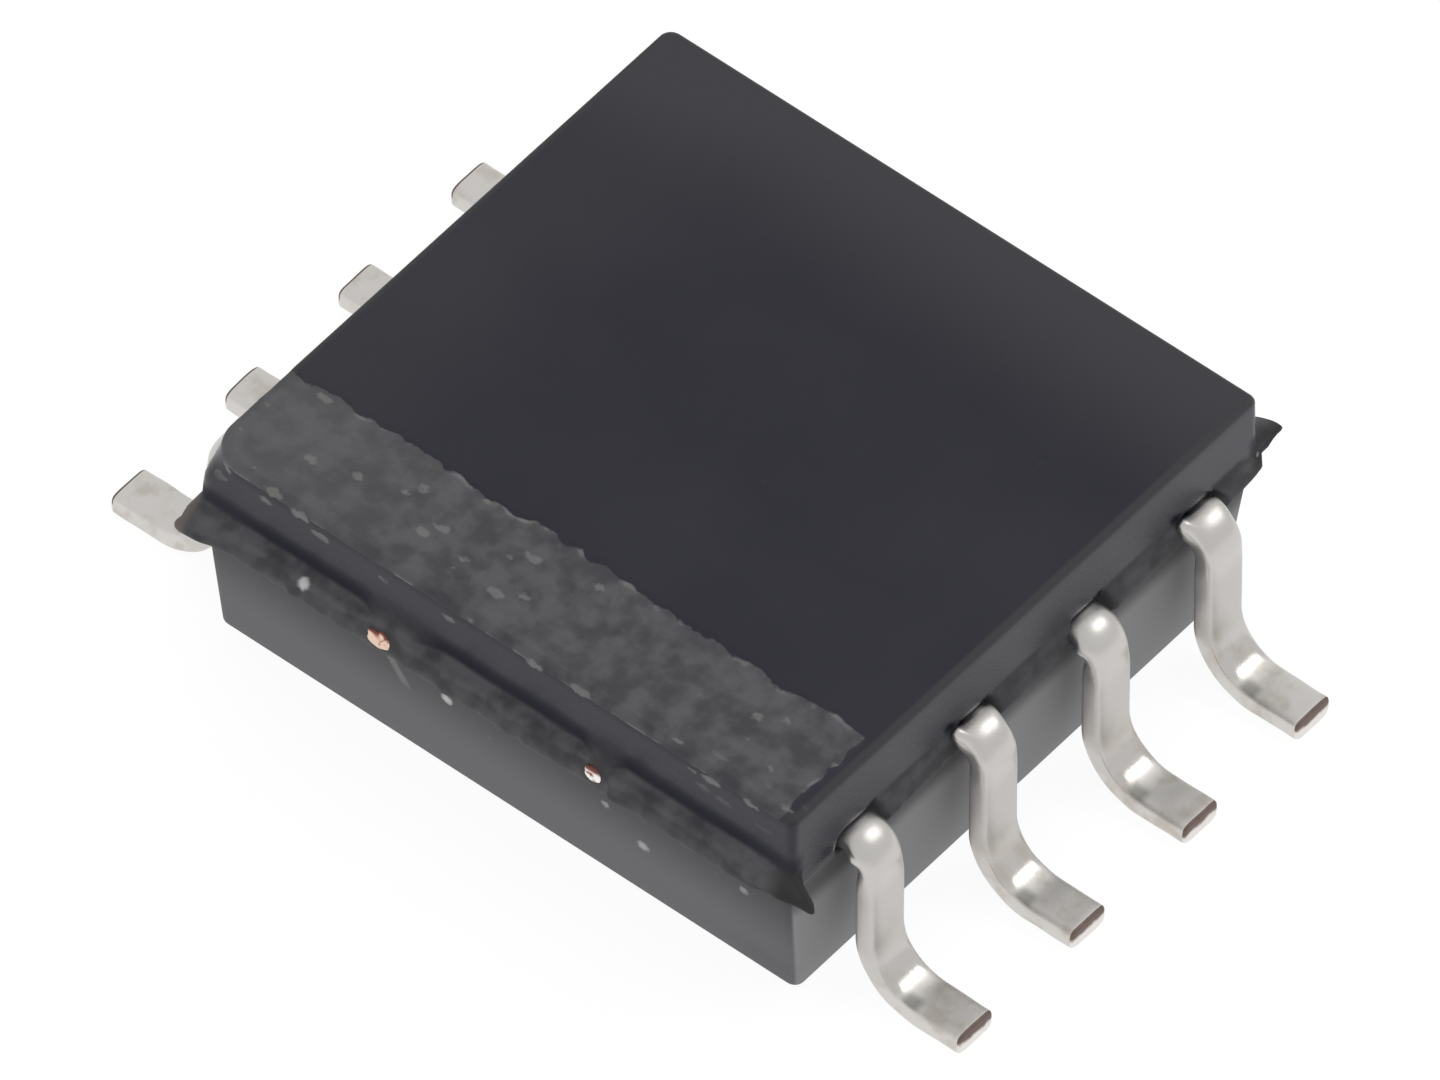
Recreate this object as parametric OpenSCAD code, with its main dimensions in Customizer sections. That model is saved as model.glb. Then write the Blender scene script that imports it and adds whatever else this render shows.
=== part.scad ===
// Eight-lead small-outline logic gate chip with gull-wing leads.
// Millimetres, +Z up. The origin is the centre of the footprint on the seating plane, which is the
// plane under the eight feet. +X runs along the lead rows and away from the index band.

/* [Moulded body] */
// Length of the body at the lead frame, along the lead rows
body_l = 2.68; // [2.5:0.02:2.9]
// Width of the body at the lead frame, across the lead rows
body_w = 2.75; // [2.6:0.05:2.95]
// Thickness of the body from its underside to its top
body_h = 1.05; // [0.95:0.05:1.25]
// Thickness of the upper half, above the lead frame
upper_h = 0.285; // [0.27:0.005:0.4]
// Gap between the underside of the body and the seating plane
standoff = 0.02; // [0.01:0.01:0.1]
// Draft of the upper half's two end faces, in degrees
upper_end_draft = 1.5; // [0.5:0.5:6]
// Draft of the lower half's two end faces, in degrees
lower_end_draft = 10; // [4:0.5:12]
// Draft of the two faces on the lead sides, in degrees
side_draft = 3; // [2:1:10]
// Radius of the four upright corners
corner_r = 0.04; // [0.02:0.01:0.1]
// How far the lower half is set in from the upper half on every side
mould_step = 0.02; // [0.005:0.005:0.03]

/* [Parting line] */
// How far the ledge of moulding flash stands out of each end
ledge_l = 0.08; // [0.05:0.01:0.15]
// Width of the break in the ledge on each side of a tie bar
ledge_gap = 0.07; // [0.03:0.01:0.1]
// How far the ears at the ledge's ends run past the lead sides
ear_out = 0.06; // [0.02:0.01:0.12]
// Length of an ear along the lead side, measured from the end face
ear_l = 0.06; // [0.03:0.01:0.1]
// How far the strip beside the leads is set back
strip_inset = 0.035; // [0.01:0.005:0.06]
// How far the web of flash between two leads stands out of the body's side
web_out = 0.05; // [0.03:0.01:0.1]
// Gap between a web and the leads beside it
web_gap = 0.045; // [0.045:0.005:0.08]

/* [Index band] */
// Width of the roughened band at the end of the first lead
band_w = 0.45; // [0.3:0.05:0.6]
// Depth of the band below the top face
band_depth = 0.008; // [0.004:0.002:0.02]

/* [Leads] */
// Distance between neighbouring leads of a row
pitch = 0.65; // [0.55:0.05:0.7]
// Distance across the part, from toe to toe
lead_span = 3.95; // [3.8:0.05:4.25]
// Width of a lead outside the body
lead_w = 0.155; // [0.14:0.005:0.25]
// Thickness of the lead frame strip
lead_t = 0.115; // [0.1:0.005:0.14]
// Straight length of a lead between the body and its first bend
shoulder_l = 0.01; // [0.005:0.005:0.05]
// Inside radius of both bends of a lead
bend_r = 0.09; // [0.06:0.01:0.12]
// Lean of the shank away from the body, in degrees
shank_lean = 8; // [2:1:12]
// How far the stubs of the cut dam bar stand out of a lead's edges
dam_stub = 0.025; // [0.01:0.005:0.04]
// Part of the first bend that carries the dam bar's stubs, in degrees
dam_turn = 35; // [20:5:60]

/* [Inner lead fingers] */
// Width of the broad finger tip that takes the bond wire
finger_w = 0.3; // [0.26:0.01:0.4]
// Length of the broad finger tip
finger_l = 0.28; // [0.2:0.01:0.3]
// Gap between the die pad and the finger tips
finger_gap = 0.22; // [0.15:0.01:0.25]

/* [Die pad] */
// Length of the die pad
pad_l = 1.5; // [1.3:0.05:1.6]
// Width of the die pad
pad_w = 1.25; // [1.1:0.05:1.3]
// How far the die pad lies below the level of the leads
pad_drop = 0.13; // [0.08:0.01:0.2]
// Width of a tie bar
tie_w = 0.09; // [0.08:0.01:0.16]
// Distance of the tie bars from the centre line
tie_y = 0.49; // [0.3:0.01:0.5]
// How far the sheared tie bars stand proud of the body's end
tie_proud = 0.045; // [0.01:0.005:0.05]

/* [Die and bond wires] */
// Length of the silicon die
die_l = 0.85; // [0.7:0.05:1]
// Width of the silicon die
die_w = 0.7; // [0.6:0.05:0.8]
// Thickness of the silicon die
die_t = 0.15; // [0.1:0.01:0.18]
// Thickness of the adhesive under the die
glue_t = 0.015; // [0.01:0.005:0.03]
// How far the adhesive is squeezed out around the die
glue_out = 0.03; // [0.01:0.01:0.06]
// Distance of the bond pads from the edges of the die
bond_inset = 0.07; // [0.06:0.01:0.1]
// Diameter of the bond wire
wire_d = 0.025; // [0.02:0.001:0.032]
// Radius of the wire's turn above its ball, along its centre line
wire_turn_r = 0.04; // [0.03:0.005:0.06]
// Height of the wire's straight neck above the die
neck_h = 0.05; // [0.04:0.005:0.07]
// Diameter of the ball that joins the wire to the die
ball_d = 0.055; // [0.045:0.005:0.07]
// Height of the ball
ball_h = 0.014; // [0.01:0.002:0.02]
// Diameter of the flattened stitch that joins the wire to its finger
stitch_d = 0.07; // [0.05:0.005:0.09]
// Height of the stitch
stitch_h = 0.012; // [0.01:0.001:0.016]
// Distance of the stitch from the end of the finger
stitch_inset = 0.14; // [0.1:0.01:0.16]

/* [Hidden] */
leads_per_row = 4;
lead_count = 2 * leads_per_row;
lead_numbers = [for (n = [1:lead_count]) n];

// Heights
body_bottom = standoff;
body_top = standoff + body_h;
frame_top = body_top - upper_h;
frame_bottom = frame_top - lead_t;
pad_top = frame_top - pad_drop;
pad_bottom = pad_top - lead_t;
die_bottom = pad_top + glue_t;
die_top = die_bottom + die_t;

// Formed lead, seen from its side with the row's outward direction as Y
finger_y = pad_w / 2 + finger_gap;
bend_1_y = body_w / 2 + shoulder_l;
bend_1_z = frame_bottom - bend_r;
bend_turn = 90 - shank_lean;
bend_2_z = lead_t + bend_r;
bends_apart = 2 * bend_r + lead_t;
shank_l = (bend_1_z - bend_2_z + bends_apart * sin(shank_lean)) / cos(shank_lean);
bend_2_y = bend_1_y + bends_apart * cos(shank_lean) + shank_l * sin(shank_lean);
toe_y = lead_span / 2;

// Tie bar, bent down to the die pad at 45 degrees
tie_end_x = body_l / 2 + tie_proud;
tie_bend_x = pad_l / 2 + lead_t / 2;
tie_bend_shift = lead_t * tan(45 / 2);

bond_pitch = (die_l - 2 * bond_inset) / (leads_per_row - 1);
bond_y = die_w / 2 - bond_inset;
stitch_y = finger_y + stitch_inset;
// Length of wire that is pressed into its stitch
stitch_run = stitch_d / 3;

// Thickness of the plates that a drafted half is stretched between
skin = 0.001;
// Size that reaches past the whole part, for cutting tools
reach = 2 * lead_span;
corner_facets = 24;
round_facets = 32;

// Place in its row of the lead with number n, counted from +X on the +Y side
function row_place(n) = (leads_per_row - 1) / 2 - (n - 1) % leads_per_row;

// Turns a piece that is built for the +Y row to the row that its number belongs to
module in_row(n) {
    rotate([0, 0, n <= leads_per_row ? 180 : 0])
        children();
}

// One half of the moulded body, from the lead frame's level up to a drafted face
module drafted_half(length, width, height, end_draft) {
    end_in = height * tan(end_draft);
    side_in = height * tan(side_draft);
    hull()
        for (level = [0, 1], x = [-1, 1], y = [-1, 1]) {
            corner_x = length / 2 - corner_r - level * end_in;
            corner_y = width / 2 - corner_r - level * side_in;
            translate([x * corner_x, y * corner_y, level * (height - skin)])
                cylinder(r = corner_r, h = skin, $fn = corner_facets);
        }
}

// Broken ledge of flash along one end, with an ear past each lead side
module flash_ledge() {
    ledge_w = body_w + 2 * ear_out;
    break_w = tie_w + 2 * ledge_gap;
    difference() {
        translate([body_l / 2 - ear_l, -ledge_w / 2])
            square([ear_l + ledge_l, ledge_w]);
        for (y = [-tie_y, tie_y])
            translate([body_l / 2, y - break_w / 2])
                square([reach, break_w]);
    }
}

// Layer of compound at the level of the leads, with webs of flash between them and ledges at both ends
module parting_layer() {
    web_w = pitch - lead_w - 2 * web_gap;
    translate([0, 0, frame_bottom])
        linear_extrude(lead_t) {
            square([body_l, body_w - 2 * strip_inset], center = true);
            for (place = [1:leads_per_row - 1])
                translate([(place - leads_per_row / 2) * pitch, 0])
                    square([web_w, body_w + 2 * web_out], center = true);
            for (turn = [0, 180])
                rotate(turn)
                    flash_ledge();
        }
}

module index_band() {
    band_end = body_l / 2 - upper_h * tan(upper_end_draft);
    translate([-band_end - band_w, -reach / 2, body_top - band_depth])
        cube([2 * band_w, reach, reach]);
}

// Epoxy body, moulded round everything inside it
module mould_body() {
    lower_l = body_l - 2 * mould_step;
    lower_w = body_w - 2 * mould_step;
    color([0.17, 0.17, 0.19])
        difference() {
            union() {
                translate([0, 0, frame_top])
                    drafted_half(body_l, body_w, upper_h, upper_end_draft);
                parting_layer();
                translate([0, 0, frame_bottom])
                    mirror([0, 0, 1])
                        drafted_half(lower_l, lower_w, frame_bottom - body_bottom, lower_end_draft);
            }
            index_band();
            die_pad();
            die_attach();
            die();
            for (n = lead_numbers) {
                lead(n);
                bond_wire(n);
            }
        }
}

// One bend of a lead, as a strip turned about an axis along X
module strip_bend(start, turn, width) {
    rotate([90, 0, 90])
        rotate([0, 0, start])
            rotate_extrude(angle = turn, $fn = round_facets)
                translate([bend_r, -width / 2])
                    square([lead_t, width]);
}

// Flat stretch of a lead between two distances from the middle of the part
module strip_flat(from_y, to_y, bottom, width) {
    translate([-width / 2, from_y, bottom])
        cube([width, to_y - from_y, lead_t]);
}

// Tin-plated copper lead: finger inside the body, shoulder, bend, shank, bend and foot
module lead(n) {
    color([0.78, 0.77, 0.75])
        in_row(n)
            translate([row_place(n) * pitch, 0, 0]) {
                strip_flat(finger_y, finger_y + finger_l, frame_bottom, finger_w);
                strip_flat(finger_y + finger_l, bend_1_y, frame_bottom, lead_w);
                translate([0, bend_1_y, bend_1_z]) {
                    strip_bend(shank_lean, bend_turn, lead_w);
                    strip_bend(90 - dam_turn, dam_turn, lead_w + 2 * dam_stub);
                    rotate([shank_lean, 0, 0])
                        translate([-lead_w / 2, bend_r, -shank_l])
                            cube([lead_w, lead_t, shank_l]);
                }
                translate([0, bend_2_y, bend_2_z])
                    strip_bend(180 + shank_lean, bend_turn, lead_w);
                strip_flat(bend_2_y, toe_y, 0, lead_w);
            }
}

// Copper paddle under the die, held by two tie bars to each end of the body
module die_pad() {
    side = [
        [pad_l / 2, pad_bottom],
        [pad_l / 2, pad_top],
        [tie_bend_x, pad_top],
        [tie_bend_x + pad_drop, frame_top],
        [tie_end_x, frame_top],
        [tie_end_x, frame_bottom],
        [tie_bend_x + pad_drop + tie_bend_shift, frame_bottom],
        [tie_bend_x + tie_bend_shift, pad_bottom]
    ];
    color([0.72, 0.45, 0.3]) {
        translate([-pad_l / 2, -pad_w / 2, pad_bottom])
            cube([pad_l, pad_w, lead_t]);
        for (turn = [0, 180], y = [-tie_y, tie_y])
            rotate([0, 0, turn])
                translate([0, y + tie_w / 2, 0])
                    rotate([90, 0, 0])
                        linear_extrude(tie_w)
                            polygon(side);
    }
}

// Silver-filled adhesive that holds the die on its pad
module die_attach() {
    glue_l = die_l + 2 * glue_out;
    glue_w = die_w + 2 * glue_out;
    color([0.7, 0.7, 0.68])
        translate([-glue_l / 2, -glue_w / 2, pad_top])
            cube([glue_l, glue_w, glue_t]);
}

module die() {
    color([0.35, 0.38, 0.45])
        translate([-die_l / 2, -die_w / 2, die_bottom])
            cube([die_l, die_w, die_t]);
}

// Bond wire: ball on the die, neck, turn, straight span down to a stitch on the finger
module bond_wire(n) {
    start = [row_place(n) * bond_pitch, bond_y];
    end = [row_place(n) * pitch, stitch_y];
    run = norm(end - start);
    heading = atan2(end[1] - start[1], end[0] - start[0]);
    fall = die_top + neck_h - frame_top;
    // Slope at which the span leaves the turn as a tangent and ends in the stitch
    slope = atan2(fall, run - wire_turn_r) + asin(wire_turn_r / norm([run - wire_turn_r, fall]));
    span_x = wire_turn_r * (1 + sin(slope));
    span_z = neck_h + wire_turn_r * cos(slope);
    span_l = (run - span_x) / cos(slope);
    color([0.85, 0.68, 0.3])
        in_row(n)
            difference() {
                union() {
                    translate([start[0], start[1], die_top])
                        rotate([0, 0, heading]) {
                            cylinder(d = ball_d, h = ball_h, $fn = round_facets);
                            cylinder(d = wire_d, h = neck_h, $fn = round_facets);
                            translate([wire_turn_r, 0, neck_h])
                                rotate([90, 0, 0])
                                    rotate([0, 0, 90 - slope])
                                        rotate_extrude(angle = 90 + slope, $fn = round_facets)
                                            translate([wire_turn_r, 0])
                                                circle(d = wire_d, $fn = round_facets);
                            translate([span_x, 0, span_z])
                                rotate([0, 90 + slope, 0])
                                    cylinder(d = wire_d, h = span_l + stitch_run, $fn = round_facets);
                        }
                    translate([end[0], end[1], frame_top])
                        cylinder(d = stitch_d, h = stitch_h, $fn = round_facets);
                }
                translate([-reach / 2, finger_y, frame_bottom])
                    cube([reach, reach, lead_t]);
            }
}

mould_body();
die_pad();
die_attach();
die();
for (n = lead_numbers) {
    lead(n);
    bond_wire(n);
}
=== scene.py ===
"""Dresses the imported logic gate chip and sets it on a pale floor, in the order in which the chip is put together."""
import math

import bmesh
import bpy
import numpy as np
from mathutils import Matrix, Vector, noise


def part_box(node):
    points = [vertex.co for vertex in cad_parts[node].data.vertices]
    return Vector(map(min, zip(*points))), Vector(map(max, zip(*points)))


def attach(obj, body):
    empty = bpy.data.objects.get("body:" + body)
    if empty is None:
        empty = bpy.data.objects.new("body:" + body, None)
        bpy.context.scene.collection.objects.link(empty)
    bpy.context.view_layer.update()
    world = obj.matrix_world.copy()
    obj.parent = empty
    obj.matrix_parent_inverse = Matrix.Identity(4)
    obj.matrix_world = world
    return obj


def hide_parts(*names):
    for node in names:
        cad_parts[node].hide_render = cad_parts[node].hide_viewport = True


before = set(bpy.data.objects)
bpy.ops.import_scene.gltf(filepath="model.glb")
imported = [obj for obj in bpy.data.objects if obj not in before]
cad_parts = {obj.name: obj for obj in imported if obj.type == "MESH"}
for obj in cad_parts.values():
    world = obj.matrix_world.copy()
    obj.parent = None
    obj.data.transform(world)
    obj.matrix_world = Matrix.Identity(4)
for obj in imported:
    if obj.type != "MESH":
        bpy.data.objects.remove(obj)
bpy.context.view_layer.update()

# Die paddle and its tie bars
# A copper paddle carries the die in the middle of the body, hung on two tie bars at each end. They are stamped with
# the leads as one frame and torn off after moulding, so four ragged ends of raw copper stand out of the body.
MM = 0.001
# For each side: the torn end's distance from the middle, its height, half width and half thickness
TORN_ENDS = {1: (0.470, 0.735, 0.056, 0.040), -1: (0.520, 0.750, 0.034, 0.033)}
# How far out each ring of a torn end lies, and its share of the full section
TORN_RINGS = ((1.36, 1.0), (1.385, 1.0), (1.398, 1.0), (1.405, 0.94), (1.410, 0.82), (1.414, 0.64), (1.416, 0.4),
              (1.417, 0.15))
TORN_DEPTHS = np.array([0.008, 0.014, 0.014])
TORN_ROUNDNESS = 0.85
OUTLINE_POINTS = 44


class Wire:
    """A socket in a material's node tree. Sums on it add Math nodes, so shader maths reads as plain expressions."""

    def __init__(self, tree, socket):
        self.tree = tree
        self.socket = socket

    def node(self, kind, settings=None, sockets=None, output=0):
        """Adds any other node: its settings are set first, then its sockets get values or links."""
        made = self.tree.nodes.new(kind)
        for name, value in (settings or {}).items():
            setattr(made, name, value)
        for name, value in (sockets or {}).items():
            if isinstance(value, Wire):
                self.tree.links.new(value.socket, made.inputs[name])
            else:
                made.inputs[name].default_value = value
        return Wire(self.tree, made.outputs[output])

    def sum(self, operation, first, second):
        return self.node("ShaderNodeMath", {"operation": operation}, {0: first, 1: second})

    def __add__(self, other):
        return self.sum("ADD", self, other)

    def __sub__(self, other):
        return self.sum("SUBTRACT", self, other)

    def __rsub__(self, other):
        return self.sum("SUBTRACT", other, self)

    def __mul__(self, other):
        return self.sum("MULTIPLY", self, other)

    __radd__ = __add__
    __rmul__ = __mul__

    def larger(self, other):
        return self.sum("MAXIMUM", self, other)

    def ramp(self, low, high):
        """0 up to low, 1 from high on, and a smooth rise between them. It falls where low is the larger."""
        bounds = {"Value": self, "From Min": low, "From Max": high}
        return self.node("ShaderNodeMapRange", {"interpolation_type": "SMOOTHSTEP"}, bounds)

    def axis(self, index):
        return self.node("ShaderNodeSeparateXYZ", None, {0: self}, index)

    def stretched(self, *factors):
        return self.node("ShaderNodeVectorMath", {"operation": "MULTIPLY"}, {0: self, 1: factors})

    def grain(self, per_mm, detail=2.0, roughness=0.5):
        """Noise from 0 to 1 with about this many grains to the millimetre."""
        sockets = {"Vector": self, "Scale": per_mm, "Detail": detail, "Roughness": roughness}
        return self.node("ShaderNodeTexNoise", None, sockets)

    def shaken(self, per_mm, by_mm):
        """Places moved to and fro by noise, so that what is drawn at them gets a broken outline."""
        push = self.node("ShaderNodeTexNoise", None, {"Vector": self, "Scale": per_mm, "Detail": 2.0}, "Color")
        sockets = {0: push, 1: (by_mm, by_mm, by_mm), 2: self}
        return self.node("ShaderNodeVectorMath", {"operation": "MULTIPLY_ADD"}, sockets)

    def specks(self, per_mm, size, share):
        """Specks in a share of the cells of a random raster, up to a size given as a part of the cell."""
        sockets = {"Vector": self, "Scale": per_mm}
        lot = self.node("ShaderNodeTexVoronoi", None, sockets, "Color").axis(0).ramp(1 - share, 1)
        return (lot * size - self.node("ShaderNodeTexVoronoi", None, sockets, "Distance")).ramp(0.0, 0.2)

    def tint(self, plain, full):
        """A colour that goes from plain to full as this value goes from 0 to 1."""
        return self.node("ShaderNodeMix", {"data_type": "RGBA"}, {0: self, 6: plain, 7: full}, 2)

    def relief(self, depth_mm, strength=1.0):
        """Shading of a surface whose height rises by depth_mm as this value goes from 0 to 1."""
        return self.node("ShaderNodeBump", None, {"Height": self, "Strength": strength, "Distance": depth_mm * MM})


class Finish:
    """A material of one shader. at is the place on the piece in millimetres, to draw the finish from."""

    def __init__(self, name, **fixed):
        self.material = bpy.data.materials.new(name)
        self.material.use_nodes = True
        self.tree = self.material.node_tree
        self.shader = self.tree.nodes["Principled BSDF"]
        for socket, value in fixed.items():
            self.shader.inputs[socket.replace("_", " ")].default_value = value
        place = Wire(self.tree, self.tree.nodes.new("ShaderNodeTexCoord").outputs["Object"])
        self.at = place.stretched(1 / MM, 1 / MM, 1 / MM)

    def facing(self, index):
        """How squarely the surface faces along an axis, from -1 to 1."""
        return self.at.node("ShaderNodeNewGeometry", None, None, "Normal").axis(index)

    def drive(self, **sockets):
        """Feeds what changes over the surface into the shader."""
        for socket, value in sockets.items():
            self.tree.links.new(value.socket, self.shader.inputs[socket.replace("_", " ")])

    def coat(self, node):
        """Gives this finish to a piece of the frame that keeps its own shape."""
        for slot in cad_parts[node].material_slots:
            slot.material = self.material


def new_piece(name, points, faces, *finishes):
    """A mesh piece in millimetres that rides with the chip, shaded smooth."""
    mesh = bpy.data.meshes.new(name)
    mesh.from_pydata(np.asarray(points) * MM, [], faces)
    shell = bmesh.new()
    shell.from_mesh(mesh)
    bmesh.ops.recalc_face_normals(shell, faces=shell.faces)
    shell.to_mesh(mesh)
    shell.free()
    mesh.shade_smooth()
    for finish in finishes:
        mesh.materials.append(finish.material)
    piece = bpy.data.objects.new(name, mesh)
    bpy.context.collection.objects.link(piece)
    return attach(piece, "root")


def strip_outline(half_w, half_t, roundness):
    """Cross-section of a stamped strip: offsets across its width and through its thickness. 1 would be an ellipse."""
    turn = np.linspace(0, 2 * math.pi, OUTLINE_POINTS, endpoint=False)
    across = half_w * np.sign(np.cos(turn)) * np.abs(np.cos(turn)) ** roundness
    through = half_t * np.sign(np.sin(turn)) * np.abs(np.sin(turn)) ** roundness
    return across, through


def skinned(rings):
    """Points and faces of a skin over a row of rings with equal counts, closed at both ends."""
    count = len(rings[0])
    faces = [list(range(count))]
    for start in range(0, count * (len(rings) - 1), count):
        for k in range(count):
            after = (k + 1) % count
            faces.append((start + k, start + after, start + count + after, start + count + k))
    faces.append(list(range(count * (len(rings) - 1), count * len(rings))))
    return np.concatenate(rings), faces


def ragged(places, per_mm, seed):
    """Noise from -1 to 1 at places in millimetres, the same on every run."""
    shift = Vector((seed, 1.7 * seed, -seed))
    return np.array([noise.noise(Vector(place) * per_mm + shift) for place in places])


def eased(value, low, high):
    """0 up to low, 1 from high on, and a smooth rise between them."""
    share = np.clip((value - low) / (high - low), 0, 1)
    return share * share * (3 - 2 * share)


raw_copper = Finish("raw_copper", Metallic=1.0)
shear_marks = raw_copper.at.stretched(1.0, 40.0, 4.0).grain(1.5, 3.0)
# Painted shade: the upward faces of the torn ends get the dark oxide colour; the random patches are oxide.
copper_tops_shade = raw_copper.facing(2).ramp(0.25, 0.75)
oxide_and_painted_shade = raw_copper.at.grain(20.0, 3.0, 0.6).ramp(0.56, 0.70).larger(copper_tops_shade)
# The torn ends on the front side, towards negative y, are near white.
pale_on_front_side = raw_copper.at.axis(1).ramp(0.2, -0.2)
fresh_cut = pale_on_front_side.tint((0.80, 0.58, 0.45, 1), (0.90, 0.86, 0.82, 1))
raw_copper.drive(
    Base_Color=oxide_and_painted_shade.tint(fresh_cut, (0.26, 0.10, 0.075, 1)),
    Roughness=0.36 + oxide_and_painted_shade * 0.24,
    Normal=shear_marks.relief(0.004, 0.5),
)
raw_copper.coat("die_pad")

for end in (-1, 1):
    for side in (-1, 1):
        tie_y, tie_z, half_w, half_t = TORN_ENDS[side]
        rings = []
        for out, share in TORN_RINGS:
            across, through = strip_outline(half_w * share, half_t * share, TORN_ROUNDNESS)
            ring = np.column_stack([np.full(len(across), end * out), side * tie_y + across, tie_z + through])
            torn = ragged(ring, 30.0, 5.0 + end + 0.3 * side) * eased(out, 1.37, 1.40)
            rings.append(ring + torn[:, None] * TORN_DEPTHS * (end, 1, 1))
        name = f"torn_tie_{'front' if end < 0 else 'back'}_{'left' if side > 0 else 'right'}"
        torn_end = new_piece(name, *skinned(rings), raw_copper)

# Leads
# Eight strips of copper alloy, tin plated, stamped with the paddle as one frame. After moulding they are cut free
# and bent twice into gull wings: stubs of the dam bar stay at the shoulders, and the cut toes show bare copper.
FRAME_LEVEL = 0.735
LEAD_W, LEAD_T = 0.195, 0.10
LEAD_PITCH = 0.65
FINGER_W, FINGER_L = 0.3, 0.28
BEND_R, FOOT_R = 0.11, 0.25
SHANK_TURN = math.radians(87.5)
# The middles of the two bends: distance from the chip's middle, and height
BEND_1 = (1.395, FRAME_LEVEL - BEND_R)
BENDS_APART = (BEND_R + FOOT_R) * math.sin(SHANK_TURN)
SHANK_DROP = BEND_1[1] - LEAD_T / 2 - FOOT_R + (BEND_R + FOOT_R) * math.cos(SHANK_TURN)
BEND_2 = (BEND_1[0] + BENDS_APART + SHANK_DROP / math.tan(SHANK_TURN), LEAD_T / 2 + FOOT_R)
# A stub's reach, its place on the bend, the face that it keeps to, its rise, and the doming of its shoulder
UPRIGHT_STUB = (0.042, 0.12, 0.5, 0.9, 0.14)
LOW_STUB = (0.026, 0.64, -0.5, 0.0, 0.43)
STUB_SPREAD = 0.36
LEAD_ROUNDNESS = 0.42
UNEVEN = 0.002
TOE_R = 0.016
TOE_TAPER = 0.6
TOE_STRIPS = 7


def lead_stations(inner, toe):
    """Stations along a lead: distance from the chip's middle, height, downward turn, half width, half thickness."""
    half_w, half_t = LEAD_W / 2, LEAD_T / 2
    neck = inner + FINGER_L
    stations = [(u, FRAME_LEVEL, 0.0, FINGER_W / 2, half_t) for u in np.linspace(inner, neck, 5)]
    stations += [(u, FRAME_LEVEL, 0.0, half_w, half_t) for u in np.linspace(neck + 0.002, BEND_1[0], 14)[:-1]]
    for turn in np.linspace(0, SHANK_TURN, 30):
        u, z = BEND_1[0] + BEND_R * math.sin(turn), BEND_1[1] + BEND_R * math.cos(turn)
        stations.append((u, z, turn, half_w, half_t))
    high_u, high_z = stations[-1][:2]
    low_u, low_z = BEND_2[0] - FOOT_R * math.sin(SHANK_TURN), BEND_2[1] - FOOT_R * math.cos(SHANK_TURN)
    for share in np.linspace(0, 1, 16)[1:-1]:
        u, z = high_u + (low_u - high_u) * share, high_z + (low_z - high_z) * share
        stations.append((u, z, SHANK_TURN, half_w, half_t))
    for turn in np.linspace(SHANK_TURN, 0, 22):
        u, z = BEND_2[0] - FOOT_R * math.sin(turn), BEND_2[1] - FOOT_R * math.cos(turn)
        stations.append((u, z, turn, half_w, half_t))
    stations += [(u, half_t, 0.0, half_w, half_t) for u in np.linspace(BEND_2[0], toe - TOE_R, 12)[1:]]
    for turn in np.linspace(0, math.pi / 2, 6)[1:]:
        inset = TOE_R * (1 - math.cos(turn)) * TOE_TAPER
        stations.append((toe - TOE_R * (1 - math.sin(turn)), half_t, 0.0, half_w - inset, half_t - inset))
    cut_w, cut_t = half_w - TOE_R * TOE_TAPER, half_t - TOE_R * TOE_TAPER
    stations += [(toe, half_t, 0.0, cut_w * share, cut_t * share) for share in (0.8, 0.45, 0.1)]
    return stations


tin = Finish("tin_plate", Metallic=1.0)
tin_x, tin_y, tin_z = (tin.at.axis(index) for index in range(3))
crystals = tin.at.grain(70.0, 3.0, 0.6)
clouds = tin.at.grain(8.0, 3.0, 0.55)
low_down = tin_z.ramp(0.42, 0.14)
stain = clouds.ramp(0.46, 0.66) * low_down
on_foot = tin_z.ramp(0.122, 0.104)
on_shank = tin_z.ramp(0.18, 0.26) * tin_z.ramp(0.62, 0.52)
in_bend = tin_z.ramp(0.27, 0.14) * tin_z.ramp(0.104, 0.128)
# Painted shade: a dark spot on the top of each foot just past the lower bend, at the crease under the bend's highlight.
lead_share = tin.at.node("ShaderNodeMath", {"operation": "FRACT"}, {0: tin_x * (1 / LEAD_PITCH)})
past_bend = tin_y.ramp(-1.685, -1.72) * tin_y.ramp(-1.79, -1.75)
crease_shade_spot = lead_share.ramp(0.47, 0.41) * past_bend * low_down * tin.facing(2).ramp(0.5, 0.85)
# Painted light: the tin of the feet gets a lighter colour than the rest of the lead.
plated_lit_feet = on_foot.tint((0.565, 0.547, 0.527, 1), (0.670, 0.650, 0.625, 1))
stained = (stain * 0.45).tint(plated_lit_feet, (0.45, 0.39, 0.32, 1))
tin.drive(
    Base_Color=(crease_shade_spot * 0.7).tint(stained, (0.22, 0.22, 0.195, 1)),
    Roughness=0.22 + clouds * 0.12 + crystals * 0.05 + (on_foot + on_shank) * 0.16 - in_bend * 0.14,
    Normal=(crystals * 0.5 + clouds * 0.5).relief(0.002, 0.4),
)

sheared = Finish("sheared_toe", Metallic=1.0)
smear = sheared.at.axis(2) + sheared.at.grain(18.0, 3.0) * 0.04
tinned = smear.ramp(0.088, 0.063)
tears = sheared.at.stretched(6.0, 1.0, 1.0).grain(9.0, 3.0)
sheared.drive(
    Base_Color=tinned.tint((0.180, 0.135, 0.118, 1), (0.80, 0.77, 0.74, 1)),
    Roughness=0.44 + tears * 0.25,
    Normal=tears.relief(0.003, 0.6),
)

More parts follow.
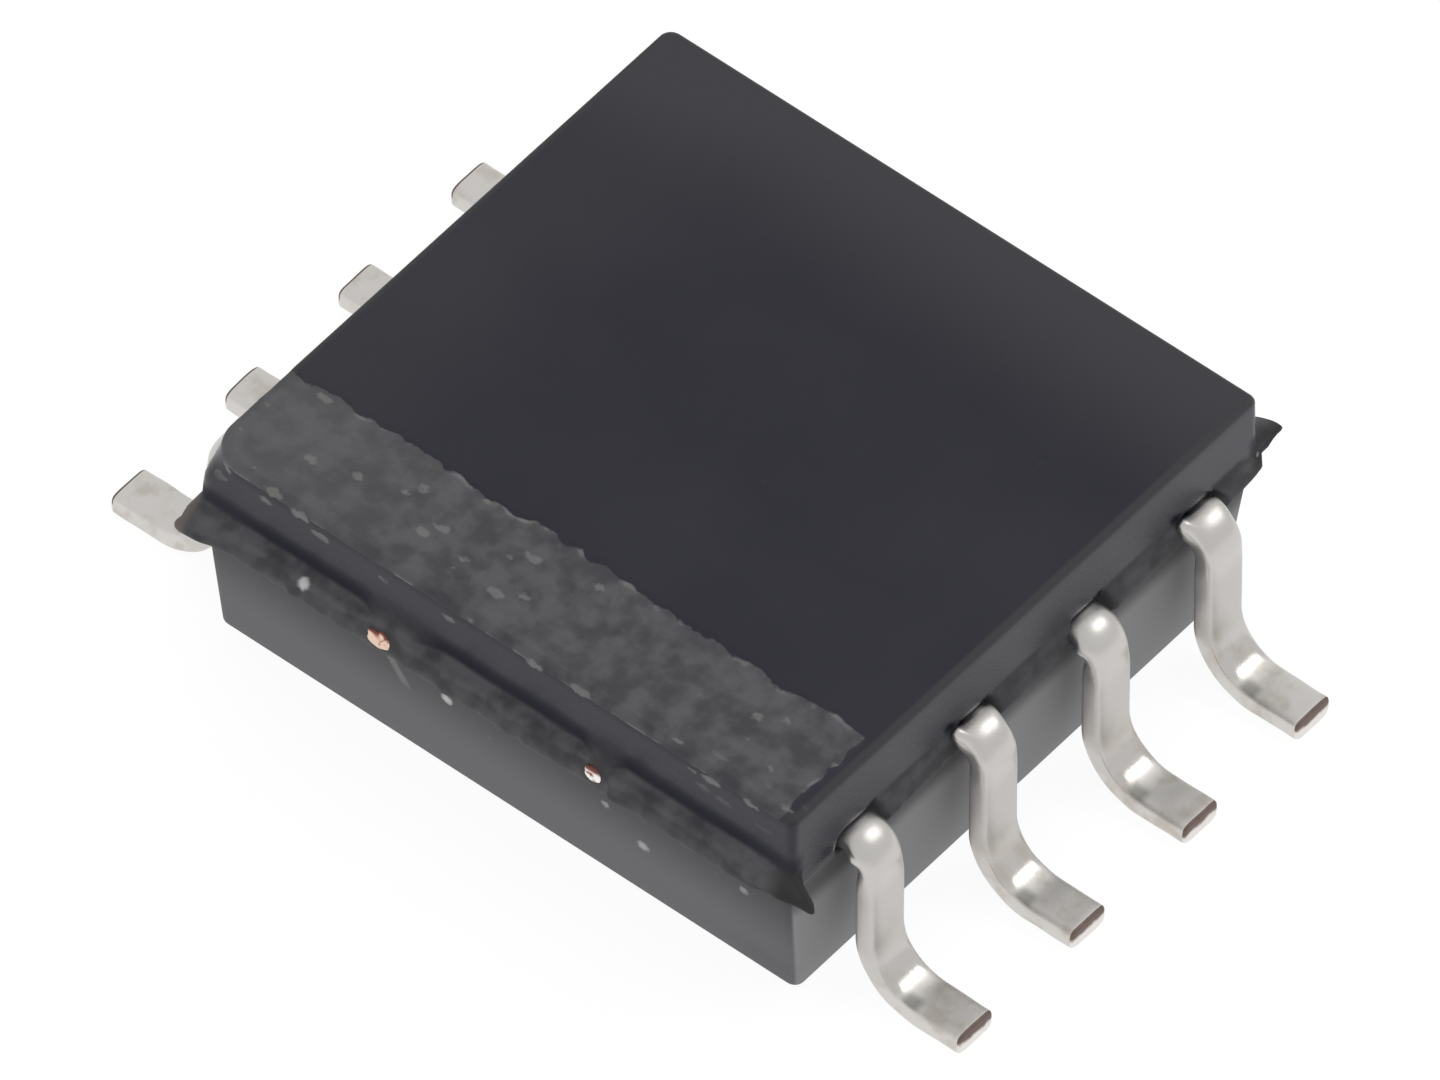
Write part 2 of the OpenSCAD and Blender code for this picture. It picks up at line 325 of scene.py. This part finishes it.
for number in range(1, 9):
    low, high = (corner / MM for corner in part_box(f"lead_{number}"))
    middle = (low.x + high.x) / 2
    row = 1 if high.y > 0 else -1
    inner, toe = sorted((abs(low.y), abs(high.y)))
    stub, stub_turn, stub_face, rise, doming = UPRIGHT_STUB if number % 2 == 0 else LOW_STUB
    rings = []
    for u, z, turn, half_w, half_t in lead_stations(inner, toe):
        dome = float(eased(u, 1.30, 1.38) * eased(z, 0.54, 0.68))
        across, through = strip_outline(half_w, half_t, LEAD_ROUNDNESS + doming * dome)
        out, up = u + through * math.sin(turn), z + through * math.cos(turn)
        outside = u > BEND_1[0]
        if outside:
            cut = stub * math.exp(-((turn - stub_turn) / STUB_SPREAD) ** 2) * eased(z, 0.40, 0.55)
            cut = cut * (0.5 + stub_face * through / half_t)
            aside = np.clip(-1.7 * across / half_w, -0.35, 1)
            up = up + rise * cut * np.maximum(aside, 0) ** 2
            across = across - cut * aside
        ring = np.column_stack([middle - row * across, row * out, up])
        if outside:
            ring += ragged(ring, 11.0, 3.0 * number)[:, None] * UNEVEN
            ring[:, 2] = np.maximum(ring[:, 2], 0)
        rings.append(ring)
    lead = new_piece(f"formed_lead_{number}", *skinned(rings), tin, sheared)
    toe_faces = TOE_STRIPS * OUTLINE_POINTS + 1
    for face in list(lead.data.polygons)[-toe_faces:]:
        face.material_index = 1
    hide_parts(f"lead_{number}")

# Die, its adhesive and the bond wires
# The silicon die is stuck to the paddle with silver-filled adhesive. A gold wire runs from the die to each lead.
# All of it is sealed inside the body.
adhesive = Finish("silver_adhesive", Metallic=0.6)
flakes = adhesive.at.grain(60.0, 3.0)
adhesive.drive(
    Base_Color=flakes.tint((0.42, 0.42, 0.40, 1), (0.70, 0.69, 0.66, 1)),
    Roughness=0.45 + flakes * 0.2,
    Normal=flakes.relief(0.002),
)
adhesive.coat("die_attach")

silicon = Finish("silicon", Metallic=0.4)
saw_marks = silicon.at.stretched(1.0, 1.0, 60.0).grain(4.0, 2.0)
silicon.drive(
    Base_Color=saw_marks.tint((0.16, 0.18, 0.22, 1), (0.24, 0.26, 0.31, 1)),
    Roughness=0.15 + saw_marks * 0.2,
    Normal=saw_marks.relief(0.0005),
)
silicon.coat("die")

gold = Finish("gold_wire", Metallic=1.0)
draw_lines = gold.at.stretched(1.0, 1.0, 8.0).grain(30.0, 2.0)
gold.drive(
    Base_Color=draw_lines.tint((0.86, 0.58, 0.20, 1), (1.0, 0.74, 0.32, 1)),
    Roughness=0.18 + draw_lines * 0.12,
    Normal=draw_lines.relief(0.0004),
)
for number in range(1, 9):
    gold.coat(f"bond_wire_{number}")

# Moulded body
# Black epoxy compound, moulded in one shot round the frame in two drafted halves. Trimming leaves broken ledges of
# flash at both ends and ragged webs between the leads; a rough band across the top marks the end with lead 1.
BOTTOM, FRAME_LOW, FRAME_HIGH, TOP = 0.02, 0.67, 0.785, 1.07
UPPER_L, UPPER_W = 1.342, 1.383
LOWER_L, LOWER_W = 1.32, 1.365
MOULD_SHIFT = (0.0, -0.008, 0.0)
UPPER_END_DRAFT = math.tan(math.radians(1))
LOWER_END_DRAFT = math.tan(math.radians(8.3))
UPPER_SIDE_DRAFT = math.tan(math.radians(3))
LOWER_SIDE_DRAFT = math.tan(math.radians(2))
EDGE, SIDE_EDGE = 0.03, 0.02
TIE_Y = 0.49
LEDGE_OUT = 0.076
# The fillets over the tie bars: their places along the end, and half widths
FILLETS = ((0.43, 0.12), (-0.525, 0.07))
STRIP_W = 1.34
OUTER_STRIP_OUT = 0.041
WEB_OUT = 0.085
# The webs of one side: their places along it, and half lengths. The other side has them turned about.
WEBS = ((-0.65, 0.2025), (0.0, 0.2025), (0.65, 0.2025), (1.15, 0.075))
# The torn edge from below upward: how far each ring lies back, and its share of the edge's height
TORN_EDGE = ((0.026, -0.05), (0.012, 0.1), (0.004, 0.28), (0.0, 0.5), (0.005, 0.8), (0.014, 0.97))
# Corner radii at four levels, for each corner named by the signs of x and y
LOW_CORNERS = {(-1, -1): 0.04, (1, -1): 0.02, (1, 1): 0.05, (-1, 1): 0.035}
FLASH_CORNERS = {(-1, -1): 0.015, (1, -1): 0.015, (1, 1): 0.02, (-1, 1): 0.03}
MID_CORNERS = {(-1, -1): 0.03, (1, -1): 0.03, (1, 1): 0.04, (-1, 1): 0.05}
TOP_CORNERS = {(-1, -1): 0.03, (1, -1): 0.03, (1, 1): 0.05, (-1, 1): 0.17}
# Each corner's ear of flash: how far it reaches along x and y, and the levels of its underside and its top
EARS = {
    (-1, -1): (1.385, 1.51, 0.701, 0.729),
    (1, -1): (1.50, 1.375, 0.743, 0.771),
    (1, 1): (1.43, 1.43, 0.701, 0.729),
    (-1, 1): (1.447, 1.412, 0.672, 0.730),
}
BAND_X, BAND_Y = -0.84, -1.302
BAND_DEPTH, SCAR_DEPTH = 0.005, 0.004
# Pale flecks on the front end: place, radius and strength
FLECKS = (
    (-1.385, 0.834, 0.780, 0.034, 1.0),
    (-1.297, 0.245, 0.499, 0.036, 1.0),
    (-1.270, -0.655, 0.355, 0.036, 0.6),
    (-1.289, -0.487, 0.476, 0.028, 0.45),
    (-1.292, -1.129, 0.491, 0.030, 0.4),
)
MARGIN = 0.35
LINES_X, LINES_Y = 198, 190


def fitted(lines, reference, half):
    """Moves grid lines made for a reference half-size to another one, by stretching only their outer parts."""
    core = reference - MARGIN
    over = np.abs(lines) - core
    return np.where(over <= 0, lines, np.sign(lines) * (core + over * (half - core) / MARGIN))


def cornered(x, y, half_x, half_y, radii):
    """Rounds the corners of a plan, with a radius for each corner given by the signs of x and y."""
    x, y = x.copy(), y.copy()
    for (sign_x, sign_y), radius in radii.items():
        in_x = sign_x * x - (half_x - radius)
        in_y = sign_y * y - (half_y - radius)
        inside = (in_x > 0) & (in_y > 0)
        reach = np.hypot(in_x, in_y)
        scale = np.where(inside, np.maximum(in_x, in_y) / np.where(reach > 0, reach, 1), 1)
        x = np.where(inside, sign_x * (half_x - radius + in_x * scale), x)
        y = np.where(inside, sign_y * (half_y - radius + in_y * scale), y)
    return x, y


# The skin is a stack of rings, closed by a grid on top. Every ring follows this loop round the grid's outermost lines.
x_lines = np.linspace(-UPPER_L, UPPER_L, LINES_X)
y_lines = np.linspace(-UPPER_W, UPPER_W, LINES_Y)
last_x, last_y = LINES_X - 1, LINES_Y - 1
loop = [(i, 0) for i in range(last_x)] + [(last_x, j) for j in range(last_y)]
loop += [(i, last_y) for i in range(last_x, 0, -1)] + [(0, j) for j in range(last_y, 0, -1)]
loop_i, loop_j = np.array(loop).T
loop_x, loop_y = x_lines[loop_i], y_lines[loop_j]
on_end = (loop_i == 0) | (loop_i == last_x)
loop_places = np.column_stack([loop_x, loop_y, np.zeros(len(loop))])
coarse, fine = ragged(loop_places, 6.0, 3.1), ragged(loop_places, 19.0, 8.3)
jag = 0.65 * coarse + 0.35 * fine

# How far the ears, ledges, fillets and webs of flash reach, all along the loop
ear_x, ear_y, ear_low, ear_high = np.zeros((4, len(loop)))
for (sign_x, sign_y), ear in EARS.items():
    here = (np.sign(loop_x) == sign_x) & (np.sign(loop_y) == sign_y)
    ear_x[here], ear_y[here], ear_low[here], ear_high[here] = ear
from_tie = np.abs(np.abs(loop_y) - TIE_Y) + 0.03 * fine
clear_of_tie = eased(from_tie, 0.06, 0.14)
at_tie = np.where(on_end, 1 - clear_of_tie, 0.0)
ledge = UPPER_L + LEDGE_OUT * (0.85 + 0.15 * clear_of_tie + (0.26 * jag + 0.10 * fine) * clear_of_tie)
in_corner = eased(np.abs(loop_y), 1.15, 1.36)
flash_x = np.where(on_end, ledge + (ear_x - ledge) * in_corner, ear_x)
fillet = np.zeros(len(loop))
for fillet_y, fillet_half in FILLETS:
    aside = np.abs(loop_y - fillet_y) / fillet_half + 0.15 * fine
    fillet = np.maximum(fillet, np.where(on_end, 1 - eased(aside, 0.3, 1.6), 0))
web = np.zeros(len(loop))
for web_x, web_half in WEBS:
    along = (-np.sign(loop_y) * loop_x - web_x) / web_half + 0.08 * fine
    web = np.maximum(web, eased(along, -1.1, -0.9) * (1 - eased(along, 1.15, 1.30)) * (0.92 - 0.08 * along))
web[on_end] = 0
web *= 1 + 0.15 * jag
webbed = np.minimum(1, 1.2 * web)
outer = eased(np.abs(loop_x), 1.04, 1.09)
strip = STRIP_W + np.maximum(WEB_OUT * web, OUTER_STRIP_OUT * outer)
at_ear = eased(np.abs(loop_x), 1.275, 1.325)
flash_y = np.where(on_end, ear_y, strip + (ear_y - strip) * at_ear)
thin = np.where(on_end, eased(np.abs(loop_y), 1.05, 1.25), np.maximum(at_ear, outer * (1 - webbed)))
torn_here = np.where(on_end, 1.0, np.maximum(np.minimum(1, 2 * web), at_ear))

# The levels of the torn flash: its lip below, its roof above, and the seam where the upper half rises from it
sag = np.where(on_end, 0.026, 0.022) * jag
lip = FRAME_LOW + np.where(on_end, -0.002, 0.006) + sag - 0.012 * at_tie
lip = lip + (ear_low - lip) * thin
roof = FRAME_HIGH - 0.045 * webbed + 0.010 * at_tie + sag * 0.4
roof = roof + (ear_high - roof) * thin
seam = FRAME_HIGH + np.where(on_end, 0.016 + 0.010 * jag, 0.006)

body_rings, flash_marks, wear_marks = [], [], []


def add_ring(end, side, level, corners, flash=0.0, wear=0.0):
    """Keeps one level of the body's skin: how far its ends and sides reach, its height and its corner radii."""
    end, side, level, flash, wear = (np.broadcast_to(value, len(loop)) for value in (end, side, level, flash, wear))
    x, y = fitted(loop_x, UPPER_L, end), fitted(loop_y, UPPER_W, side)
    body_rings.append(np.column_stack([*cornered(x, y, end, side, corners), level]))
    flash_marks.append(flash)
    wear_marks.append(wear)


def lower_reach(level):
    return LOWER_L - (FRAME_LOW - level) * LOWER_END_DRAFT, LOWER_W - (FRAME_LOW - level) * LOWER_SIDE_DRAFT


def upper_reach(level):
    return UPPER_L - (level - FRAME_HIGH) * UPPER_END_DRAFT, UPPER_W - (level - FRAME_HIGH) * UPPER_SIDE_DRAFT


# Lower half, from the underside up
low_end, low_side = lower_reach(BOTTOM)
add_ring(low_end - 3 * EDGE, low_side - 3 * EDGE, BOTTOM, LOW_CORNERS)
for turn in np.linspace(math.pi / 2, 0, 6):
    level = BOTTOM + EDGE * (1 - math.sin(turn))
    end, side = (reach - EDGE * (1 - math.cos(turn)) for reach in lower_reach(level))
    add_ring(end, side, level, LOW_CORNERS, 0.0, math.sin(turn))
for level in np.linspace(BOTTOM + EDGE, FRAME_LOW - 0.03, 10)[1:]:
    add_ring(*lower_reach(level), level, LOW_CORNERS)
add_ring(LOWER_L - 0.001, LOWER_W - 0.001, FRAME_LOW - 0.010 + sag * 0.4, LOW_CORNERS, 0.3 * torn_here)

# Flash, out under the lip, up the torn edge and back over the roof to the seam
half_x, half_y = LOWER_L + (flash_x - LOWER_L) * 0.55, LOWER_W + (flash_y - LOWER_W) * 0.55
add_ring(half_x, half_y, lip - 0.012, LOW_CORNERS, torn_here)
for inset, share in TORN_EDGE:
    torn_edge = (0.006 * fine * (1 - 2 * abs(share - 0.5)) - inset) * torn_here
    add_ring(flash_x + torn_edge, flash_y + torn_edge, lip + (roof - lip) * share, FLASH_CORNERS, torn_here)
half_x, half_y = UPPER_L + (flash_x - UPPER_L) * (0.5 + 0.2 * fillet), UPPER_W + (flash_y - UPPER_W) * 0.5
add_ring(half_x, half_y, (roof + seam) / 2, FLASH_CORNERS, torn_here)
half_x, half_y = UPPER_L + 0.008 + 0.036 * fillet, UPPER_W - 0.006 * (1 - outer) + 0.014 * web
add_ring(half_x, half_y, seam - 0.002, FLASH_CORNERS, torn_here)
half_x, half_y = UPPER_L + 0.001 + 0.037 * fillet, UPPER_W - 0.001
add_ring(half_x, half_y, seam + 0.006, MID_CORNERS, np.maximum(0.5 * torn_here, fillet))

# Upper half, and the rounded edge round the top
for level in np.linspace(FRAME_HIGH + 0.034, TOP - EDGE, 8):
    share = float(eased(level, 0.90, TOP - EDGE))
    rounding = {place: mid + (TOP_CORNERS[place] - mid) * share for place, mid in MID_CORNERS.items()}
    end, side = upper_reach(level)
    bulge = fillet * (1 - eased(level, 0.79, 0.90))
    add_ring(end + 0.036 * bulge, side, level, rounding, bulge)
for turn in np.linspace(0, math.pi / 2, 7)[1:]:
    level = TOP - EDGE * (1 - math.sin(turn))
    end, side = upper_reach(level)
    inset = 1 - math.cos(turn)
    add_ring(end - EDGE * inset, side - SIDE_EDGE * inset, level, TOP_CORNERS, 0.0, math.sin(turn))

top_l, top_w = upper_reach(TOP)
top_l, top_w = top_l - EDGE, top_w - SIDE_EDGE
inner_x, inner_y = fitted(x_lines[1:-1], UPPER_L, top_l), fitted(y_lines[1:-1], UPPER_W, top_w)
grid_x, grid_y = np.meshgrid(inner_x, inner_y, indexing="ij")
top_x, top_y = cornered(grid_x.ravel(), grid_y.ravel(), top_l, top_w, TOP_CORNERS)
top_face = np.column_stack([top_x, top_y, np.full(len(top_x), TOP)])

# The grid takes the place of the skin's last face
skin, faces = skinned(body_rings)
faces.pop()
on_loop = {place: len(skin) - len(loop) + k for k, place in enumerate(loop)}


def top_index(i, j):
    return on_loop.get((i, j), len(skin) + (i - 1) * (last_y - 1) + j - 1)


for i in range(last_x):
    for j in range(last_y):
        faces.append([top_index(*place) for place in ((i, j), (i + 1, j), (i + 1, j + 1), (i, j + 1))])


def across_band(places):
    """How much of a place belongs to the rough band, whose borders on the top are ragged."""
    plan = places * (1, 1, 0)
    border_x = BAND_X + 0.03 * ragged(plan * (0, 1, 0), 4.0, 1.3) + 0.022 * ragged(plan, 15.0, 4.4)
    border_y = BAND_Y + 0.022 * ragged(plan, 12.0, 6.1)
    on_top = eased(places[:, 2], TOP - EDGE * 1.1, TOP - EDGE * 0.5)
    return on_top * eased(border_x - places[:, 0], -0.025, 0.025) * eased(places[:, 1] - border_y, -0.02, 0.02)


points = np.concatenate([skin, top_face])
band = across_band(points)
scars = ragged(points, 26.0, 7.7) + 0.7 * ragged(points, 55.0, 9.1)
points[:, 2] += band * (-BAND_DEPTH + SCAR_DEPTH * scars)
points += MOULD_SHIFT

# What shows where: glossy above, matt below the leads, scuffed in the band, broken on the flash, with painted light and
# shade worked into each
compound = Finish("mould_compound", IOR=1.38)
band_mask, flash_mask, wear_mask = (
    compound.at.node("ShaderNodeAttribute", {"attribute_name": name}, None, "Fac") for name in ("band", "flash", "wear")
)
body_x, body_y, body_z = (compound.at.axis(index) for index in range(3))
out_x = body_x * body_x
at_end = out_x.ramp(1.60, 1.75)
past_leads = out_x.ramp(1.08, 1.19)
in_lower_half = (body_z - past_leads * 0.06).ramp(FRAME_LOW + 0.01, FRAME_LOW - 0.02)
in_groove = body_z.ramp(0.90, 0.84) * at_end
flat = compound.facing(2).ramp(0.3, 0.8)
end_on = compound.facing(0)
to_end = (end_on * end_on).ramp(0.3, 0.7)
filler = compound.at.grain(85.0, 3.0, 0.6)
mottle = compound.at.grain(10.0, 3.0, 0.5)
scuffs = mottle.ramp(0.32, 0.68)
scarred = (band_mask + compound.at.grain(24.0, 3.0) * 0.9).ramp(0.87, 1.02)
rough = scarred.larger(flash_mask)

haze = compound.at.grain(1.4, 3.0, 0.5).ramp(0.3, 0.7)
glossy = haze.tint((0.009, 0.0095, 0.018, 1), (0.014, 0.0145, 0.023, 1))
# Painted light: the top is lighter towards the far end and the far side.
far_side_light = (body_x.ramp(0.6, 1.35) + body_y.ramp(0.6, 1.3) * 0.35) * flat
glossy = far_side_light.tint(glossy, (0.035, 0.0345, 0.043, 1))
rubbed = wear_mask.tint(glossy, (0.036, 0.036, 0.040, 1))

# Painted shade on the lower half: the end faces darken towards the ledge above them, with darker blotches right under
# it, and the sides darken towards the webs. The sides are painted lighter than the ends.
shaded = body_z.ramp(0.62, 0.20).tint((0.046, 0.045, 0.049, 1), (0.112, 0.110, 0.118, 1))
shadow_under_ledge = (body_z + mottle * 0.10).ramp(0.58, 0.66)
shaded = shadow_under_ledge.tint(shaded, (0.026, 0.026, 0.028, 1))
shade_below_webs = body_z.ramp(0.585, 0.46).tint((0.070, 0.069, 0.073, 1), (0.208, 0.205, 0.212, 1))
matt_and_painted_shade = to_end.tint(shade_below_webs, shaded)

band_scuffs_and_painted_light = scuffs.tint((0.053, 0.053, 0.060, 1), (0.096, 0.0955, 0.103, 1))
# Painted light: the band is lighter towards the far side.
band_scuffs_and_painted_light = (body_y.ramp(0.1, 1.3) * 0.4).tint(band_scuffs_and_painted_light, (0.118, 0.117, 0.118, 1))

fracture = scuffs.tint((0.033, 0.033, 0.036, 1), (0.060, 0.059, 0.064, 1))
# Painted light: the upward faces of the flash at the ends are lighter than its torn front faces.
broken_lit_tops = (flat * at_end * (0.2 + scuffs * 0.8)).tint(fracture, (0.092, 0.090, 0.096, 1))
left_ear = body_y.ramp(1.33, 1.37) * at_end
# Painted shade: the ear of flash at the front corner is near black.
front_ear_shade = body_y.ramp(-1.28, -1.38) * at_end
torn = front_ear_shade.tint(left_ear.tint(broken_lit_tops, (0.120, 0.104, 0.098, 1)), (0.026, 0.025, 0.026, 1))
# The body's colour before the pale marks: its own tones together with the painted light and shade above.
worn_and_painted_light = flash_mask.tint(scarred.tint(in_lower_half.tint(rubbed, matt_and_painted_shade), band_scuffs_and_painted_light), torn)

# Small pale marks: chips in the band and along its edge, those on the edge partly a painted highlight, a scrape under
# one tie bar, dust, and bright flecks
chips = compound.at.shaken(30.0, 0.04).stretched(1.0, 0.55, 1.0).specks(19.0, 0.5, 0.18) * scarred
# Pale marks along the front top edge: chips, and a painted highlight broken into pieces along the edge.
along_edge = body_x.ramp(-1.22, -1.30) * body_z.ramp(0.92, 1.04)
edge_chips_and_glints = compound.at.shaken(34.0, 0.03).stretched(1.0, 0.4, 1.0).specks(22.0, 0.5, 0.4) * along_edge
border = band_mask.ramp(0.3, 0.55) * band_mask.ramp(1.0, 0.7) * mottle.ramp(0.49, 0.62)
beside_scrape = body_y - body_z * 0.51 - 0.224
scrape = (beside_scrape * beside_scrape).ramp(0.0009, 0.0) * body_z.ramp(0.38, 0.44)
scrape = scrape * body_z.ramp(0.61, 0.56) * body_x.ramp(-1.24, -1.26)
dust = compound.at.specks(7.0, 0.12, 0.08)
pale = (chips * 0.6).larger(edge_chips_and_glints * 0.65).larger(border * 0.6).larger(dust * (0.1 + in_lower_half * 0.8))
pale = pale.larger(scrape * 0.6)
glints = compound.at.grain(13.0, 1.0).ramp(0.67, 0.76) * flash_mask * body_x.ramp(1.20, 1.30)
for *fleck, radius, strength in FLECKS:
    sockets = {0: compound.at.shaken(45.0, 0.02), 1: fleck}
    spread = compound.at.node("ShaderNodeVectorMath", {"operation": "DISTANCE"}, sockets, "Value")
    glints = glints.larger(spread.ramp(radius, radius * 0.4) * strength)
compound.drive(
    Base_Color=glints.tint(pale.tint(worn_and_painted_light, (0.19, 0.19, 0.185, 1)), (0.46, 0.47, 0.46, 1)),
    Roughness=0.24 + filler * 0.06 + rough.larger(in_lower_half * 0.8).larger(in_groove) * 0.46 + wear_mask * 0.38,
    Normal=(filler * 0.03 + mottle * rough).relief(0.007, 0.5),
)

body = new_piece("moulded_shell", points, faces, compound)
plain_top = np.zeros(len(top_face))
flash, wear = (np.concatenate([*marks, plain_top]) for marks in (flash_marks, wear_marks))
for name, values in {"band": band, "flash": flash, "wear": wear}.items():
    layer = body.data.attributes.new(name, "FLOAT", "POINT")
    layer.data.foreach_set("value", values.astype(np.float32))
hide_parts("mould_body")

# Floor and light
# A pale sheet that glows a little, as on a light table, under an even white sky. One round soft box to the right of
# the camera puts the white highlights on the bends of the leads.
FLOOR_HALF = 0.6
SKY_STRENGTH = 0.85
BOX_TOWARD = Vector((0.52, -0.38, 0.765)).normalized()
BOX_DISTANCE, BOX_SIZE, BOX_RADIANCE = 0.06, 0.028, 2.0
WHITE = (1, 1, 1, 1)
floor_mesh = bpy.data.meshes.new("floor")
floor_corners = [(x * FLOOR_HALF, y * FLOOR_HALF, 0) for x, y in ((-1, -1), (1, -1), (1, 1), (-1, 1))]
floor_mesh.from_pydata(floor_corners, [], [(0, 1, 2, 3)])
floor = bpy.data.objects.new("floor", floor_mesh)
bpy.context.collection.objects.link(floor)
paper = Finish("pale_sheet", Roughness=0.9, Specular_IOR_Level=0.0, Emission_Color=WHITE, Emission_Strength=0.90)
fibre = paper.at.grain(1.5, 4.0)
paper.drive(Base_Color=fibre.tint((0.145, 0.145, 0.145, 1), (0.155, 0.155, 0.155, 1)))
floor_mesh.materials.append(paper.material)

box_data = bpy.data.lights.new("box_right", "AREA")
box_data.shape = "DISK"
box_data.size = BOX_SIZE
box_data.energy = BOX_RADIANCE * math.pi * math.pi * (BOX_SIZE / 2) ** 2
soft_box = bpy.data.objects.new("box_right", box_data)
soft_box.location = BOX_TOWARD * BOX_DISTANCE
soft_box.rotation_euler = BOX_TOWARD.to_track_quat("Z", "Y").to_euler()
soft_box.visible_camera = False
bpy.context.collection.objects.link(soft_box)

sky = bpy.data.worlds.new("even_sky")
sky.use_nodes = True
background = sky.node_tree.nodes["Background"]
background.inputs["Color"].default_value = WHITE
background.inputs["Strength"].default_value = SKY_STRENGTH
bpy.context.scene.world = sky

# Camera
# It looks down on the index end and the row of leads 1 to 4, with the photograph's slight tilt. It stands far off
# with a long lens, because the photograph shows next to no perspective.
AZIMUTH = math.radians(53.365)
ELEVATION = math.radians(49.3)
ROLL = math.radians(-3.08)
PX_PER_MM = 276.06
IMAGE_W, IMAGE_H = 1440, 1080
ORIGIN_PX = (718.8, 613.2)
DISTANCE = 160.0
SENSOR_W = 36.0
level_ahead = Vector((math.sin(AZIMUTH), math.cos(AZIMUTH), 0))
forward = level_ahead * math.cos(ELEVATION) - Vector((0, 0, math.sin(ELEVATION)))
level_right = Vector((math.cos(AZIMUTH), -math.sin(AZIMUTH), 0))
level_down = forward.cross(level_right)
right = math.cos(ROLL) * level_right + math.sin(ROLL) * level_down
down = math.cos(ROLL) * level_down - math.sin(ROLL) * level_right
aim = right * (IMAGE_W / 2 - ORIGIN_PX[0]) / PX_PER_MM + down * (IMAGE_H / 2 - ORIGIN_PX[1]) / PX_PER_MM
camera_data = bpy.data.cameras.new("camera")
camera_data.sensor_width = SENSOR_W
camera_data.lens = PX_PER_MM * DISTANCE * SENSOR_W / IMAGE_W
camera_data.clip_start = 0.01
camera_data.clip_end = 2.0
camera = bpy.data.objects.new("camera", camera_data)
place = Matrix((right, -down, -forward)).transposed().to_4x4()
place.translation = (aim - DISTANCE * forward) * MM
camera.matrix_world = place
bpy.context.collection.objects.link(camera)
bpy.context.scene.camera = camera
bpy.context.scene.view_settings.view_transform = "Standard"
